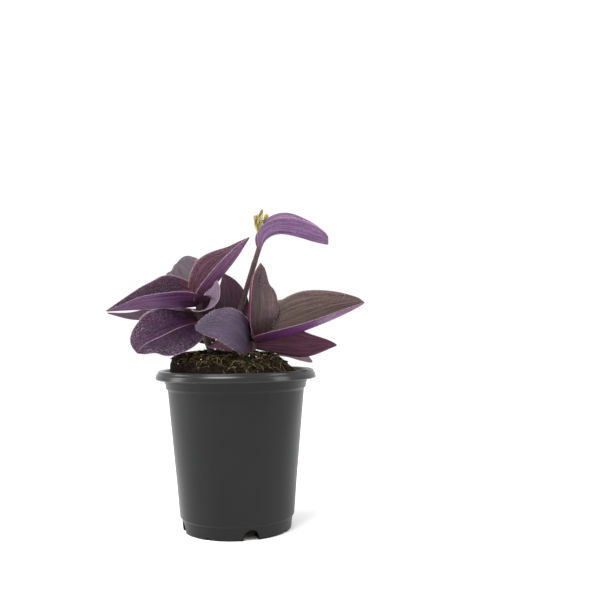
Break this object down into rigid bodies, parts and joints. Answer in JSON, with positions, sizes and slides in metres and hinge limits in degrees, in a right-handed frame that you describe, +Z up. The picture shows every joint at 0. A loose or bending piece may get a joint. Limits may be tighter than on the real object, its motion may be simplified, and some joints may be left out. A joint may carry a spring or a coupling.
{
  "type": "potted plant",
  "caption": "Purple-leaved tradescantia with boat-shaped leaves and a tall flower stem, growing from a mound of potting mix in a round tapered black nursery pot.",
  "frame": {"origin": "centre of the bounding box's bottom, which is the pot's axis at the plane of its foot", "axes": "+Z up along the pot's axis; +X to the right, along the long low leaf; -Y towards the front"},
  "size_m": [0.19, 0.118, 0.2387],
  "materials": {
    "pot_plastic": "semi-matte moulded black plastic",
    "potting_mix": "dark crumbly peat and bark with moss and fibres",
    "stem": "fleshy brown-purple stem",
    "leaf": "soft purple leaf with fine parallel veins and hairs",
    "spent_flower": "dry yellow-green"
  },
  "bodies": {
    "root": {"pot": "pot_plastic", "potting_mix": "potting_mix", "flower_stem": "stem", "left_stem": "stem", "right_stem": "stem", "back_stem": "stem", "side_shoot": "stem", "long_right_leaf": "leaf", "upright_leaf": "leaf", "lower_right_leaf": "leaf", "front_leaf": "leaf", "lower_left_leaf": "leaf", "left_leaf": "leaf", "lower_back_left_leaf": "leaf", "upper_back_leaf": "leaf", "upper_left_leaf": "leaf", "dark_back_leaf": "leaf", "curled_leaf": "leaf", "far_right_leaf": "leaf", "small_leaf": "leaf", "young_leaf": "leaf", "flower_leaf": "leaf", "inner_left_leaf": "leaf", "back_left_leaf": "leaf", "back_leaf": "leaf", "back_right_leaf": "leaf", "trailing_leaf": "leaf", "bud_1": "spent_flower", "bud_2": "spent_flower", "bud_3": "spent_flower", "bud_4": "spent_flower"}
  },
  "joints": []
}
